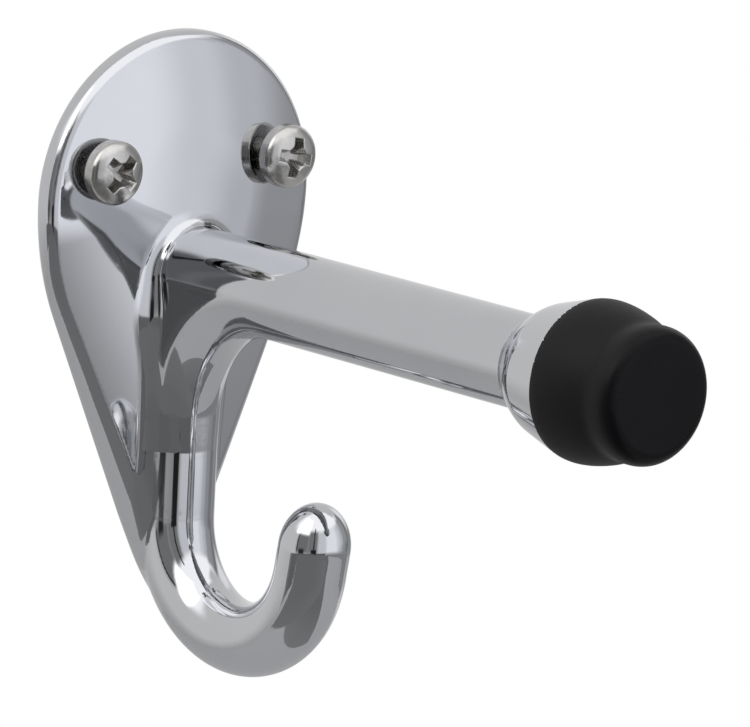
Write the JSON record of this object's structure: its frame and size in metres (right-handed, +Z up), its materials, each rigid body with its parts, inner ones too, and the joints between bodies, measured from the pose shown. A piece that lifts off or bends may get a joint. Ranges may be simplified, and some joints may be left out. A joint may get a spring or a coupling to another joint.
{
  "type": "coat hook with door bumper",
  "caption": "Wall-mounted coat hook with a teardrop plate, a J-shaped hook and a straight arm ending in a rubber bumper that stops a door.",
  "frame": {"origin": "on the arm's axis, in the plane of the plate's back face", "axes": "+Z up, +Y into the wall, so the arm runs out along -Y; X is across the plate"},
  "size_m": [0.0462, 0.1088, 0.0876],
  "materials": {
    "chrome": "polished chrome plate",
    "rubber": "matte black rubber",
    "screw_steel": "bright plated steel"
  },
  "bodies": {
    "root": {"hook_body": "chrome", "bumper": "rubber", "mounting_screws": "screw_steel"}
  },
  "joints": []
}
